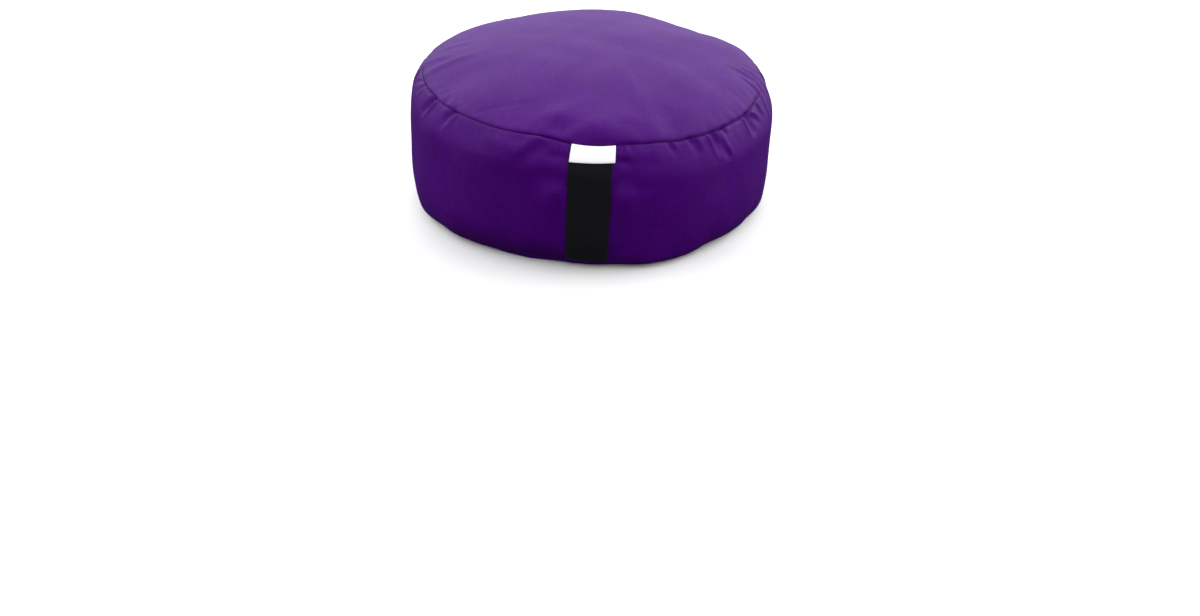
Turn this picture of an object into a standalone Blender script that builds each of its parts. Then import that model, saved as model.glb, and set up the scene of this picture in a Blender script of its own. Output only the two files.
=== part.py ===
"""Round meditation cushion (zafu): a filled drum, its webbing handle and a folded label.

Metres, +Z up. The origin is the centre of the flat base, and the handle faces -Y.
The cushion is sewn from a round top panel, a side band and a round bottom panel, and
is one closed filled solid here. Azimuths run anticlockwise from +X, seen from above.
"""

import math
from collections import namedtuple

import bmesh
import bpy

# Driving dimensions of the filled cushion.
BULGE_RADIUS = 0.1745
SEAM_RADIUS = 0.1625
TOP_SEAM_HEIGHT = 0.128
CROWN = 0.033
BOTTOM_SEAM_RADIUS = 0.163
BOTTOM_SEAM_HEIGHT = 0.006
BASE_FLAT_RADIUS = 0.150

# How full the cloth lies: a higher power is flatter in the middle and rounder at the seam.
BAND_POWER = 3.6
LOWER_BAND_POWER = 6.0
CROWN_POWER = 2.4
CROWN_EDGE_ROLL = 0.008
CROWN_EDGE_REACH = 0.012
GATHER_FADE = 10.0
LEAN_FADE = 1.5
TUCK_FADE = 1.5
DRAW_FADE = 3.0

# Webbing handle, sewn into both seams, and the folded label over its top end.
STRAP_WIDTH = 0.038
STRAP_THICKNESS = 0.0016
STRAP_TOP_X = -0.0004
STRAP_BOTTOM_X = -0.0022
STRAP_LOWEST = 0.004
LABEL_WIDTH = 0.0405
LABEL_DROP = 0.0145
LABEL_THICKNESS = 0.0011
LABEL_X = 0.0018
TRIM_TOP_RISE = 0.985
CLEARANCE = 0.0005

# Mesh density: columns around the cushion, rows up the band, and rings of the panels.
COLUMNS = 160
BAND_ROWS = 13
CROWN_RINGS = (0.985, 0.95, 0.90, 0.82, 0.70, 0.54, 0.36, 0.18)
BASE_RINGS = (0.5, 1.0)
TRIM_COLUMNS = 6
TRIM_ROWS = 13
LABEL_ROWS = 5
SLOPE_STEP = 0.004
SHARP_ANGLE = math.radians(40.0)

# The filling has settled unevenly. lift raises the top seam and draw pulls it in, bulge
# moves the widest part of the band out, and tuck draws in the band's lower half.
Settle = namedtuple("Settle", "azimuth lift bulge tuck draw")
SETTLE = (
    Settle(0, -0.0065, 0.0005, 0.0040, 0.0000),
    Settle(40, -0.0055, 0.0000, 0.0030, 0.0000),
    Settle(90, -0.0025, -0.0010, 0.0010, 0.0000),
    Settle(135, 0.0020, 0.0000, 0.0000, 0.0000),
    Settle(180, 0.0050, 0.0010, -0.0020, 0.0024),
    Settle(215, 0.0040, -0.0015, -0.0050, 0.0000),
    Settle(250, 0.0015, -0.0010, 0.0030, 0.0000),
    Settle(275, -0.0040, 0.0000, 0.0015, 0.0000),
    Settle(300, -0.0105, 0.0010, -0.0010, 0.0000),
    Settle(330, -0.0120, 0.0000, 0.0020, 0.0000),
)

# Puckers where the band is gathered into a seam: a trough runs away from it. The seam
# itself is held by its stitches, so it takes only the open share of each trough.
SEAM_HELD_SHARE = 0.6
SEAM_HELD_REACH = 0.006
Pucker = namedtuple("Pucker", "azimuth depth half_width reach")
TOP_PUCKERS = (
    Pucker(3, 0.0035, 4.0, 0.030),
    Pucker(17, 0.0025, 3.5, 0.022),
    Pucker(36, 0.0038, 4.5, 0.034),
    Pucker(55, 0.0022, 4.0, 0.024),
    Pucker(73, 0.0034, 4.5, 0.032),
    Pucker(101, 0.0028, 4.0, 0.026),
    Pucker(124, 0.0036, 5.0, 0.036),
    Pucker(143, 0.0024, 3.5, 0.022),
    Pucker(166, 0.0034, 4.5, 0.030),
    Pucker(186, 0.0030, 3.5, 0.026),
    Pucker(204, 0.0048, 4.0, 0.040),
    Pucker(216, 0.0036, 3.5, 0.028),
    Pucker(254, 0.0032, 5.0, 0.034),
    Pucker(291, 0.0022, 3.0, 0.018),
    Pucker(298, 0.0034, 3.5, 0.028),
    Pucker(305, 0.0032, 3.0, 0.030),
    Pucker(312, 0.0046, 4.0, 0.040),
    Pucker(323, 0.0044, 3.5, 0.036),
    Pucker(339, 0.0034, 4.0, 0.030),
)
BOTTOM_PUCKERS = (
    Pucker(12, 0.0026, 4.5, 0.024),
    Pucker(48, 0.0030, 5.0, 0.030),
    Pucker(82, 0.0024, 4.0, 0.022),
    Pucker(118, 0.0030, 5.0, 0.028),
    Pucker(152, 0.0026, 4.5, 0.026),
    Pucker(192, 0.0030, 5.0, 0.030),
    Pucker(228, 0.0024, 4.5, 0.024),
    Pucker(300, 0.0026, 5.0, 0.026),
    Pucker(334, 0.0030, 4.5, 0.028),
)

# Shallow hollows of the top panel: place as a share of its radius, and size.
Hollow = namedtuple("Hollow", "azimuth share depth radius")
HOLLOWS = (
    Hollow(264, 0.88, 0.0032, 0.026),
    Hollow(300, 0.90, 0.0020, 0.024),
    Hollow(350, 0.72, 0.0026, 0.034),
    Hollow(205, 0.86, 0.0016, 0.022),
    Hollow(47, 0.84, 0.0062, 0.040),
    Hollow(122, 0.80, 0.0030, 0.042),
)

Finish = namedtuple("Finish", "name colour roughness")
CANVAS = Finish("purple_canvas", (0.085, 0.022, 0.170, 1.0), 0.86)
WEBBING = Finish("black_webbing", (0.012, 0.012, 0.014, 1.0), 0.74)
SATIN = Finish("white_satin", (0.86, 0.86, 0.88, 1.0), 0.45)


def turn_between(azimuth, other):
    """Signed angle from other to azimuth, in degrees, between -180 and 180."""
    return (azimuth - other + 180.0) % 360.0 - 180.0


def settled(azimuth, column):
    """Value of one SETTLE column at an azimuth in degrees, eased between its rows."""
    azimuth %= 360.0
    for index, row in enumerate(SETTLE):
        following = SETTLE[(index + 1) % len(SETTLE)]
        span = (following.azimuth - row.azimuth) % 360.0
        along = (azimuth - row.azimuth) % 360.0
        if along <= span:
            share = 0.5 - 0.5 * math.cos(math.pi * along / span)
            first = getattr(row, column)
            return first + (getattr(following, column) - first) * share
    return 0.0


def pucker_depth(puckers, azimuth, distance):
    """Depth of the gathers at an azimuth in degrees and a distance from their seam."""
    depth = 0.0
    for pucker in puckers:
        across = turn_between(azimuth, pucker.azimuth) / pucker.half_width
        depth += pucker.depth * math.exp(-across * across - (distance / pucker.reach) ** 2)
    return depth * (1.0 - SEAM_HELD_SHARE * math.exp(-abs(distance) / SEAM_HELD_REACH))


def hollow_depth(x, y, radius):
    """Depth of the top panel's shallow hollows at a point of its plan."""
    depth = 0.0
    for hollow in HOLLOWS:
        angle = math.radians(hollow.azimuth)
        away = math.hypot(x - radius * hollow.share * math.cos(angle),
                          y - radius * hollow.share * math.sin(angle))
        depth += hollow.depth * math.exp(-(away / hollow.radius) ** 2)
    return depth


def top_seam_height(azimuth):
    """Height of the top seam at an azimuth in degrees."""
    return TOP_SEAM_HEIGHT + settled(azimuth, "lift")


def band_profile(azimuth, rise):
    """Radius and height of the smooth band: rise is 0 at the bottom seam and 1 at the top."""
    across = 2.0 * rise - 1.0
    fullness = 1.0 - abs(across) ** (BAND_POWER if across > 0.0 else LOWER_BAND_POWER)
    top_seam = SEAM_RADIUS - settled(azimuth, "draw")
    seam = BOTTOM_SEAM_RADIUS + (top_seam - BOTTOM_SEAM_RADIUS) * rise
    widest = BULGE_RADIUS + settled(azimuth, "bulge") - settled(azimuth, "tuck") * (1.0 - rise) ** TUCK_FADE
    height = BOTTOM_SEAM_HEIGHT + (top_seam_height(azimuth) - BOTTOM_SEAM_HEIGHT) * rise
    return seam + (widest - seam) * fullness, height


def band_point(azimuth, rise):
    """Point of the gathered band at an azimuth in degrees."""
    radius, height = band_profile(azimuth, rise)
    radius -= pucker_depth(TOP_PUCKERS, azimuth, top_seam_height(azimuth) - height)
    radius -= pucker_depth(BOTTOM_PUCKERS, azimuth, height - BOTTOM_SEAM_HEIGHT)
    angle = math.radians(azimuth)
    return radius * math.cos(angle), radius * math.sin(angle), height


def crown_point(azimuth, share):
    """Point of the top panel: share is 1 at its seam and 0 at its centre."""
    gathered = pucker_depth(TOP_PUCKERS, azimuth, 0.0) * share ** GATHER_FADE
    drawn = settled(azimuth, "draw") * share ** DRAW_FADE
    radius = (SEAM_RADIUS - gathered - drawn) * share
    angle = math.radians(azimuth)
    x, y = radius * math.cos(angle), radius * math.sin(angle)
    inwards = SEAM_RADIUS * (1.0 - share)
    roll = CROWN_EDGE_ROLL * (1.0 - math.exp(-inwards / CROWN_EDGE_REACH))
    swell = (CROWN - CROWN_EDGE_ROLL) * (1.0 - share ** CROWN_POWER)
    level = TOP_SEAM_HEIGHT + settled(azimuth, "lift") * share ** LEAN_FADE
    fade = min(1.0, inwards / CROWN_EDGE_REACH)
    return x, y, level + roll + swell - fade * hollow_depth(x, y, SEAM_RADIUS)


def band_rises():
    """Shares of the band's height for its rows, closer together towards both seams."""
    for row in range(BAND_ROWS + 1):
        yield 0.5 - 0.5 * math.cos(math.pi * row / BAND_ROWS)


def cushion_rings():
    """Rings of the cushion's surface, from the base to the crown, without the two poles."""
    azimuths = [360.0 * column / COLUMNS for column in range(COLUMNS)]
    for share in BASE_RINGS:
        radius = BASE_FLAT_RADIUS * share
        yield [(radius * math.cos(math.radians(a)), radius * math.sin(math.radians(a)), 0.0)
               for a in azimuths]
    for rise in band_rises():
        yield [band_point(a, rise) for a in azimuths]
    for share in CROWN_RINGS:
        yield [crown_point(a, share) for a in azimuths]


def dressed(mesh_data, name, finish):
    """Object of a finished mesh, with its material and smooth shading."""
    material = bpy.data.materials.new(finish.name)
    material.use_nodes = True
    shader = material.node_tree.nodes["Principled BSDF"]
    shader.inputs["Base Color"].default_value = finish.colour
    shader.inputs["Roughness"].default_value = finish.roughness
    shader.inputs["Metallic"].default_value = 0.0
    mesh = bpy.data.meshes.new(name)
    mesh_data.to_mesh(mesh)
    mesh_data.free()
    mesh.shade_smooth()
    mesh.set_sharp_from_angle(angle=SHARP_ANGLE)
    mesh.materials.append(material)
    piece = bpy.data.objects.new(name, mesh)
    bpy.context.scene.collection.objects.link(piece)
    return piece


def bridge(mesh_data, lower, upper):
    """Faces between two closed rings of vertices with the same count."""
    count = len(lower)
    for index in range(count):
        following = (index + 1) % count
        mesh_data.faces.new((lower[index], lower[following], upper[following], upper[index]))


def fan(mesh_data, pole, ring):
    """Triangles from a pole to a closed ring that runs anticlockwise around it."""
    for index, corner in enumerate(ring):
        mesh_data.faces.new((pole, corner, ring[(index + 1) % len(ring)]))


def build_cushion():
    """The filled drum: flat base, bottom seam, gathered band, top seam and crown."""
    mesh_data = bmesh.new()
    rings = [[mesh_data.verts.new(point) for point in ring] for ring in cushion_rings()]
    for lower, upper in zip(rings, rings[1:]):
        bridge(mesh_data, lower, upper)
    fan(mesh_data, mesh_data.verts.new((0.0, 0.0, 0.0)), rings[0][::-1])
    fan(mesh_data, mesh_data.verts.new(crown_point(0.0, 0.0)), rings[-1])
    return dressed(mesh_data, "cushion", CANVAS)


def front_surface(x, rise, stand_off):
    """Point at a distance outside the smooth band, at a place x on the cushion's front."""
    azimuth = 270.0 + math.degrees(math.asin(x / BULGE_RADIUS))
    radius, height = band_profile(azimuth, rise)
    above_radius, above_height = band_profile(azimuth, min(1.0, rise + SLOPE_STEP))
    below_radius, below_height = band_profile(azimuth, max(0.0, rise - SLOPE_STEP))
    run, climb = above_radius - below_radius, above_height - below_height
    length = math.hypot(run, climb)
    radius += stand_off * climb / length
    height -= stand_off * run / length
    angle = math.radians(azimuth)
    return radius * math.cos(angle), radius * math.sin(angle), height


def build_trim(name, finish, centre_line, width, inner, outer):
    """Closed strip on the band's front, with a row of corners for each (x, rise) of its line."""
    mesh_data = bmesh.new()
    layers = []
    for stand_off in (inner, outer):
        rows = []
        for centre_x, rise in centre_line:
            edges = [centre_x + width * (column / TRIM_COLUMNS - 0.5)
                     for column in range(TRIM_COLUMNS + 1)]
            rows.append([mesh_data.verts.new(front_surface(x, rise, stand_off)) for x in edges])
        layers.append(rows)
    inside, outside = layers
    for row in range(len(centre_line) - 1):
        for column in range(TRIM_COLUMNS):
            for rows, step in ((outside, 1), (inside, -1)):
                corners = (rows[row][column], rows[row][column + 1],
                           rows[row + 1][column + 1], rows[row + 1][column])
                mesh_data.faces.new(corners[::step])
    bridge(mesh_data, outline(inside), outline(outside))
    bmesh.ops.recalc_face_normals(mesh_data, faces=mesh_data.faces)
    return dressed(mesh_data, name, finish)


def outline(rows):
    """Vertices along the border of a grid of rows, in order."""
    right = [row[-1] for row in rows[1:-1]]
    left = [row[0] for row in rows[1:-1]]
    return rows[0] + right + rows[-1][::-1] + left[::-1]


def rise_at(height):
    """Share of the band's height at the front for a height above the base."""
    return (height - BOTTOM_SEAM_HEIGHT) / (top_seam_height(270.0) - BOTTOM_SEAM_HEIGHT)


def build_strap():
    """Flat webbing handle that lies against the front, from the bottom seam to the top one."""
    lowest = rise_at(STRAP_LOWEST + CLEARANCE + STRAP_THICKNESS)
    centre_line = []
    for row in range(TRIM_ROWS + 1):
        rise = lowest + (TRIM_TOP_RISE - lowest) * (0.5 - 0.5 * math.cos(math.pi * row / TRIM_ROWS))
        centre_line.append((STRAP_BOTTOM_X + (STRAP_TOP_X - STRAP_BOTTOM_X) * rise, rise))
    return build_trim("carry_strap", WEBBING, centre_line, STRAP_WIDTH,
                      CLEARANCE, CLEARANCE + STRAP_THICKNESS)


def build_label():
    """Small label folded over and sewn into the top seam, over the end of the handle."""
    bottom = TRIM_TOP_RISE - LABEL_DROP / (TOP_SEAM_HEIGHT - BOTTOM_SEAM_HEIGHT)
    inner = 2.0 * CLEARANCE + STRAP_THICKNESS
    centre_line = [(LABEL_X, bottom + (TRIM_TOP_RISE - bottom) * row / LABEL_ROWS)
                   for row in range(LABEL_ROWS + 1)]
    return build_trim("folded_label", SATIN, centre_line, LABEL_WIDTH,
                      inner, inner + LABEL_THICKNESS)


def main():
    """Clear the scene and build the cushion and its two sewn-on pieces."""
    for leftover in list(bpy.data.objects):
        bpy.data.objects.remove(leftover, do_unlink=True)
    build_cushion()
    build_strap()
    build_label()


main()
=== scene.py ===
"""Looks of a round meditation cushion: purple canvas, black webbing handle, folded satin label.

Metres, +Z up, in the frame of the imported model. The handle faces -Y. Azimuths run
anticlockwise from +X, seen from above, so the front of the cushion is at 270 degrees.
A drop is a distance from the top seam along the cloth: down the band where it is
positive, and in over the top panel where it is negative.
"""

import sys

import logging
import math
from dataclasses import dataclass
from typing import NamedTuple, Sequence

import bpy
import numpy as np
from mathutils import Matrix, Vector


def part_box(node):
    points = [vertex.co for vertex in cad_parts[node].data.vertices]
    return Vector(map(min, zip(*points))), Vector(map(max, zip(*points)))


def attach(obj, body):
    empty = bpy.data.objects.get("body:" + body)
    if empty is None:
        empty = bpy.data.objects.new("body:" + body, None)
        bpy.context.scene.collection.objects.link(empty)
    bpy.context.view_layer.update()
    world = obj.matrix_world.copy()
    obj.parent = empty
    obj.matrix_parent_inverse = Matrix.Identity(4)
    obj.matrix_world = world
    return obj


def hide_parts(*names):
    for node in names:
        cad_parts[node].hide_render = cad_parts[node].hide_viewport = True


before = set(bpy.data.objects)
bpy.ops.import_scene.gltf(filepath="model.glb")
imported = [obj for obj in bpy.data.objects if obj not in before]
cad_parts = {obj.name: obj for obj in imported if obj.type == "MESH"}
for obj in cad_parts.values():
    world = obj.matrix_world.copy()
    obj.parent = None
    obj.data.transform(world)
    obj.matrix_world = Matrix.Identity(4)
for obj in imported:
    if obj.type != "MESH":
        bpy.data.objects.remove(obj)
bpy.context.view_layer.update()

LOG = logging.getLogger("zafu")
MILLIMETRE = 0.001
FRONT = 270.0
SHARP_EDGE = 50.0

Socket = bpy.types.NodeSocket
Colour = tuple[float, float, float]
Scale = tuple[float, float, float]
Range = tuple[float, float]


class Settle(NamedTuple):
    """How the filling has settled at one azimuth, with moves in metres.

    lift raises the top seam and draw pulls it in, bulge moves the widest part of the
    band out, tuck draws in the band's lower half, and foot moves the bottom seam out.
    slope is 0 where the band curves over to the top seam and 1 where it slopes straight
    down to a soft corner, a share of the band's half height above its middle. roll is
    how far the top panel curves down to its seam.
    """

    azimuth: float
    lift: float
    bulge: float
    tuck: float
    draw: float
    foot: float
    slope: float
    corner: float
    roll: float


class Pucker(NamedTuple):
    """A gather at a seam: a trough that runs away from it. Width in degrees, rest in metres."""

    azimuth: float
    depth: float
    half_width: float
    reach: float


class Hollow(NamedTuple):
    """A shallow dent of the top panel, placed by azimuth and share of the panel's radius."""

    azimuth: float
    share: float
    depth: float
    radius: float


class Crease(NamedTuple):
    """A fold of the cloth: a ridge with a trough beside it, in millimetres.

    It runs from one azimuth and drop to another. width is the ridge's half width, crisp
    is 0 for a soft round fold and 1 for a pressed one, and beside is how far the middle
    of the trough lies from the ridge, towards higher azimuths.
    """

    azimuth: float
    drop: float
    to_azimuth: float
    to_drop: float
    ridge: float
    trough: float
    width: float
    beside: float
    crisp: float


class Light(NamedTuple):
    """A soft light, tipped from overhead to the front and then turned to the right, in degrees."""

    name: str
    power: float
    tip: float
    turn: float
    spread: float


SETTLE = (
    Settle(0, -0.0065, 0.0005, 0.0040, 0.0000, 0.0024, 0.6, 0.45, 0.0084),
    Settle(18, -0.0040, 0.0010, 0.0034, -0.0002, 0.0005, 0.6, 0.45, 0.0080),
    Settle(40, -0.0055, 0.0000, 0.0030, 0.0000, 0.0000, 0.6, 0.45, 0.0080),
    Settle(90, -0.0025, -0.0010, 0.0010, 0.0000, 0.0000, 0.4, 0.45, 0.0080),
    Settle(135, 0.0020, 0.0000, 0.0000, 0.0000, 0.0000, 0.2, 0.45, 0.0080),
    Settle(160, 0.0022, -0.0006, -0.0010, -0.0018, 0.0000, 0.0, 0.45, 0.0078),
    Settle(180, 0.0050, -0.0002, -0.0020, -0.0006, 0.0010, 0.0, 0.45, 0.0078),
    Settle(197, 0.0046, -0.0006, -0.0048, 0.0004, 0.0078, 0.2, 0.45, 0.0066),
    Settle(215, 0.0040, 0.0004, -0.0034, 0.0000, 0.0028, 1.0, 0.54, 0.0034),
    Settle(250, 0.0015, 0.0010, 0.0044, 0.0000, -0.0082, 1.0, 0.62, 0.0014),
    Settle(275, -0.0040, 0.0000, 0.0015, 0.0000, 0.0005, 1.0, 0.52, 0.0046),
    Settle(290, -0.0066, 0.0005, 0.0000, 0.0000, 0.0084, 1.0, 0.48, 0.0078),
    Settle(300, -0.0098, 0.0010, -0.0010, 0.0000, 0.0064, 1.0, 0.48, 0.0084),
    Settle(312, -0.0110, 0.0006, 0.0000, 0.0000, 0.0006, 1.0, 0.48, 0.0100),
    Settle(330, -0.0120, 0.0000, 0.0010, 0.0000, 0.0018, 1.0, 0.48, 0.0124),
    Settle(348, -0.0088, 0.0003, 0.0034, 0.0000, 0.0058, 0.8, 0.45, 0.0110),
)
# Broad gathers of the band below the top seam, and above the bottom one.
TOP_PUCKERS = (
    Pucker(3, 0.0014, 4.0, 0.030),
    Pucker(17, 0.0012, 3.5, 0.022),
    Pucker(36, 0.0018, 4.5, 0.034),
    Pucker(55, 0.0012, 4.0, 0.024),
    Pucker(73, 0.0016, 4.5, 0.032),
    Pucker(101, 0.0014, 4.0, 0.026),
    Pucker(124, 0.0018, 5.0, 0.036),
    Pucker(143, 0.0012, 3.5, 0.022),
    Pucker(166, 0.0014, 4.5, 0.030),
    Pucker(186, 0.0018, 3.5, 0.026),
    Pucker(206, 0.0016, 5.0, 0.030),
    Pucker(254, 0.0018, 5.5, 0.030),
    Pucker(303, 0.0012, 3.5, 0.020),
    Pucker(323, 0.0016, 5.0, 0.030),
    Pucker(339, 0.0012, 4.0, 0.030),
)
BOTTOM_PUCKERS = (
    Pucker(12, 0.0016, 4.5, 0.024),
    Pucker(48, 0.0020, 5.0, 0.030),
    Pucker(82, 0.0014, 4.0, 0.022),
    Pucker(118, 0.0020, 5.0, 0.028),
    Pucker(152, 0.0016, 4.5, 0.026),
    Pucker(192, 0.0018, 5.0, 0.030),
    Pucker(228, 0.0014, 4.5, 0.024),
    Pucker(300, 0.0014, 5.0, 0.026),
    Pucker(334, 0.0020, 4.5, 0.028),
)
HOLLOWS = (
    Hollow(260.5, 0.945, 0.0039, 0.0105),
    Hollow(258.5, 0.865, -0.0028, 0.0140),
    Hollow(300, 0.90, 0.0020, 0.0240),
    Hollow(350, 0.72, 0.0026, 0.0340),
    Hollow(205, 0.86, 0.0016, 0.0220),
    Hollow(47, 0.84, 0.0062, 0.0400),
    Hollow(122, 0.80, 0.0030, 0.0420),
)
# Where the seam is drawn in deepest and its painted shade is darkest, by azimuth, and how far that
# reaches, in degrees.
DEEP_SEAMS = ((257.0, 6.5), (221.0, 2.2), (302.6, 2.4), (317.2, 2.4))
CREASES = (
    # Left end: folds of the band, and light streaks that run in over the top panel.
    Crease(210.6, 0.5, 204.6, 25, 1.9, 3.5, 2.2, -5.8, 0.5),
    Crease(222.8, 0.6, 218.2, 22, 0.8, 2.2, 2.4, -5.0, 0.3),
    Crease(221.0, 0.2, 220.4, 5, 0.0, 1.8, 1.8, 0.0, 0.3),
    Crease(220.6, -0.2, 220.2, -5, 0.0, 1.1, 2.0, 0.0, 0.3),
    Crease(198.7, 0.8, 194.6, 14, 1.2, 1.6, 1.6, -4.0, 0.5),
    Crease(192.4, 0.4, 184.6, 12, 0.3, 1.6, 1.5, 0.0, 0.3),
    Crease(182.0, 1.0, 179.5, 18, 0.8, 1.0, 2.0, 5.0, 0.5),
    Crease(175.6, -12.0, 172.4, -52, 0.7, 0.1, 5.2, 8.0, 0.0),
    Crease(181.8, -3.0, 188.4, -40, 0.8, 0.1, 5.2, 8.0, 0.0),
    Crease(191.6, -3.0, 190.4, -66, 1.1, 0.1, 5.8, -9.0, 0.0),
    Crease(228.0, -3.0, 250.0, -38, 0.0, 0.35, 3.0, 0.0, 0.1),
    # Middle: the soft fold left of the label, and small ones beside it.
    Crease(253.8, 1.0, 245.4, 21, 1.7, 1.8, 4.2, 8.4, 0.1),
    Crease(264.5, 12.8, 255.5, 14.8, 0.0, 1.8, 2.8, 0.0, 0.0),
    Crease(275.6, 12.8, 282.0, 17.2, 0.0, 2.0, 3.0, 0.0, 0.0),
    Crease(235.0, 9.5, 251.5, 13.0, 1.5, 0.0, 5.5, 0.0, 0.0),
    Crease(276.0, 9.0, 293.0, 9.0, 1.4, 0.0, 5.5, 0.0, 0.0),
    Crease(280.4, 0.5, 281.4, 13, 0.9, 0.9, 1.7, 4.5, 0.4),
    # Right of the front: pressed ridges with dark troughs, and pinches at the seam.
    Crease(296.4, 0.4, 297.4, 10, 0.7, 2.0, 1.7, -4.4, 0.2),
    Crease(302.2, 0.2, 302.8, 7, 0.0, 1.8, 1.6, 0.0, 0.3),
    Crease(305.2, 0.4, 306.6, 15, 0.9, 1.7, 2.0, -6.5, 0.25),
    Crease(309.4, 0.5, 310.8, 24, 1.9, 2.8, 2.0, 5.6, 0.5),
    Crease(316.8, 0.2, 317.6, 8, 0.0, 2.4, 2.2, 0.0, 0.3),
    Crease(315.2, 5.5, 317.8, 30, 1.4, 1.5, 2.0, -5.0, 0.5),
    Crease(328.2, 0.2, 328.9, 24, 2.0, 4.0, 2.2, 7.4, 0.5),
    Crease(334.2, 0.8, 339.0, 16, 1.4, 1.2, 1.6, -5.0, 0.6),
    Crease(341.0, 1.2, 342.0, 18, 1.3, 1.4, 1.6, -4.2, 0.6),
    # Right end: fine folds that run over the seam and back over the top panel.
    Crease(347.9, -25.0, 345.8, 27, 1.5, 0.4, 2.1, -4.5, 0.4),
    Crease(353.8, -32.0, 350.6, 19, 1.4, 0.3, 2.0, 4.2, 0.4),
    Crease(356.6, -22.0, 355.4, 21, 1.3, 0.3, 2.0, 4.0, 0.4),
    Crease(1.4, -22.0, 359.6, 14, 1.1, 0.3, 1.9, 4.0, 0.4),
)


def select_only(piece: bpy.types.Object) -> None:
    """Deselect everything, then select one object and make it active.

    Args:
        piece: The object that the next operators act on.
    """
    bpy.ops.object.select_all(action="DESELECT")
    piece.select_set(True)
    bpy.context.view_layer.objects.active = piece


def positions(mesh: bpy.types.Mesh) -> np.ndarray:
    """Vertex positions of a mesh.

    Args:
        mesh: The mesh to read.

    Returns:
        An array with a row of x, y and z for each vertex.
    """
    flat = np.empty(len(mesh.vertices) * 3)
    mesh.vertices.foreach_get("co", flat)
    return flat.reshape(-1, 3)


def place(mesh: bpy.types.Mesh, points: np.ndarray) -> None:
    """Move a mesh's vertices to new positions, a row of x, y and z for each."""
    mesh.vertices.foreach_set("co", points.ravel())
    mesh.update()


def normals(mesh: bpy.types.Mesh) -> np.ndarray:
    """Vertex normals of a mesh.

    Args:
        mesh: The mesh to read.

    Returns:
        An array with a unit vector for each vertex.
    """
    flat = np.empty(len(mesh.vertices) * 3)
    mesh.vertex_normals.foreach_get("vector", flat)
    return flat.reshape(-1, 3)


def edge_ends(mesh: bpy.types.Mesh) -> np.ndarray:
    """Vertices at the ends of a mesh's edges.

    Args:
        mesh: The mesh to read.

    Returns:
        An array with a row of two vertex numbers for each edge.
    """
    flat = np.empty(len(mesh.edges) * 2, dtype=np.int32)
    mesh.edges.foreach_get("vertices", flat)
    return flat.reshape(-1, 2)


def apply_modifier(piece: bpy.types.Object, name: str) -> None:
    """Apply the modifier of an object that has a certain name."""
    select_only(piece)
    bpy.ops.object.modifier_apply(modifier=name)


def subdivide(piece: bpy.types.Object, levels: int) -> None:
    """Round a mesh with a subdivision surface and apply it.

    Args:
        piece: The object.
        levels: How many times each face is divided.
    """
    rounding = piece.modifiers.new("Rounding", "SUBSURF")
    rounding.levels = levels
    rounding.render_levels = levels
    rounding.boundary_smooth = "PRESERVE_CORNERS"
    apply_modifier(piece, rounding.name)


def thicken(piece: bpy.types.Object, thickness: float) -> None:
    """Give a sheet its thickness, half on each side.

    Args:
        piece: The open sheet.
        thickness: Its thickness in metres.
    """
    wall = piece.modifiers.new("Thickness", "SOLIDIFY")
    wall.thickness = thickness
    wall.offset = 0.0
    wall.use_even_offset = True
    apply_modifier(piece, wall.name)


def round_look(piece: bpy.types.Object) -> None:
    """Shade a thickened sheet smooth, with its edges left sharp."""
    select_only(piece)
    bpy.ops.object.shade_smooth_by_angle(angle=math.radians(SHARP_EDGE))


def face_outwards(piece: bpy.types.Object) -> None:
    """Turn an open front sheet's faces towards -Y, by the way that its far end faces."""
    if normals(piece.data)[: len(piece.data.vertices) // 3, 1].mean() > 0.0:
        piece.data.flip_normals()


def corner_vertices(mesh: bpy.types.Mesh) -> np.ndarray:
    """Vertices at the face corners of a mesh.

    Args:
        mesh: The mesh to read.

    Returns:
        An array with the vertex number of each face corner.
    """
    corners = np.empty(len(mesh.loops), dtype=np.int32)
    mesh.loops.foreach_get("vertex_index", corners)
    return corners


def set_pattern(mesh: bpy.types.Mesh, pattern: np.ndarray) -> None:
    """Store the cloth's flat pattern as the UV map, a row in metres for each face corner."""
    layer = mesh.uv_layers.new(name="pattern")
    layer.data.foreach_set("uv", pattern.astype(np.float32).ravel())


def cut_strip(name: str, columns: int, rows: int, width: float,
              length: float) -> tuple[bpy.types.Object, np.ndarray, np.ndarray]:
    """Cut a flat strip of even quads, with its pattern.

    Args:
        name: The new piece's name.
        columns: How many quads lie across it.
        rows: How many quads lie along it.
        width: Its width in metres.
        length: Its length in metres.

    Returns:
        The strip, and for each vertex the share of the width from the left and the share
        of the length from the top.
    """
    bpy.ops.object.select_all(action="DESELECT")
    bpy.ops.mesh.primitive_grid_add(x_subdivisions=columns, y_subdivisions=rows, size=1.0)
    piece = bpy.context.object
    piece.name = piece.data.name = name
    flat = positions(piece.data)
    corners = flat[corner_vertices(piece.data), :2]
    set_pattern(piece.data, (corners + 0.5) * np.array((width, length)))
    return piece, flat[:, 0] + 0.5, 0.5 - flat[:, 1]


def around(azimuth: np.ndarray, radius: np.ndarray, height: np.ndarray) -> np.ndarray:
    """Points round the axis, a row of x, y and z for each azimuth, radius and height."""
    angle = np.radians(azimuth)
    return np.stack((radius * np.cos(angle), radius * np.sin(angle), height), axis=1)


def turn_between(azimuth: np.ndarray, other: float) -> np.ndarray:
    """Turns to azimuths from another one, in degrees between -180 and 180."""
    return (azimuth - other + 180.0) % 360.0 - 180.0


def settled(azimuth: np.ndarray, column: str) -> np.ndarray:
    """Values of one column of SETTLE, eased between its rows.

    Args:
        azimuth: Azimuths in degrees.
        column: The column's name.

    Returns:
        One value for each azimuth, in the column's own unit.
    """
    values = np.zeros_like(azimuth)
    for row, following in zip(SETTLE, SETTLE[1:] + SETTLE[:1]):
        span = (following.azimuth - row.azimuth) % 360.0
        along = (azimuth - row.azimuth) % 360.0
        share = 0.5 - 0.5 * np.cos(np.pi * along / span)
        first = getattr(row, column)
        eased = first + (getattr(following, column) - first) * share
        values = np.where(along < span, eased, values)
    return values


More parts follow.
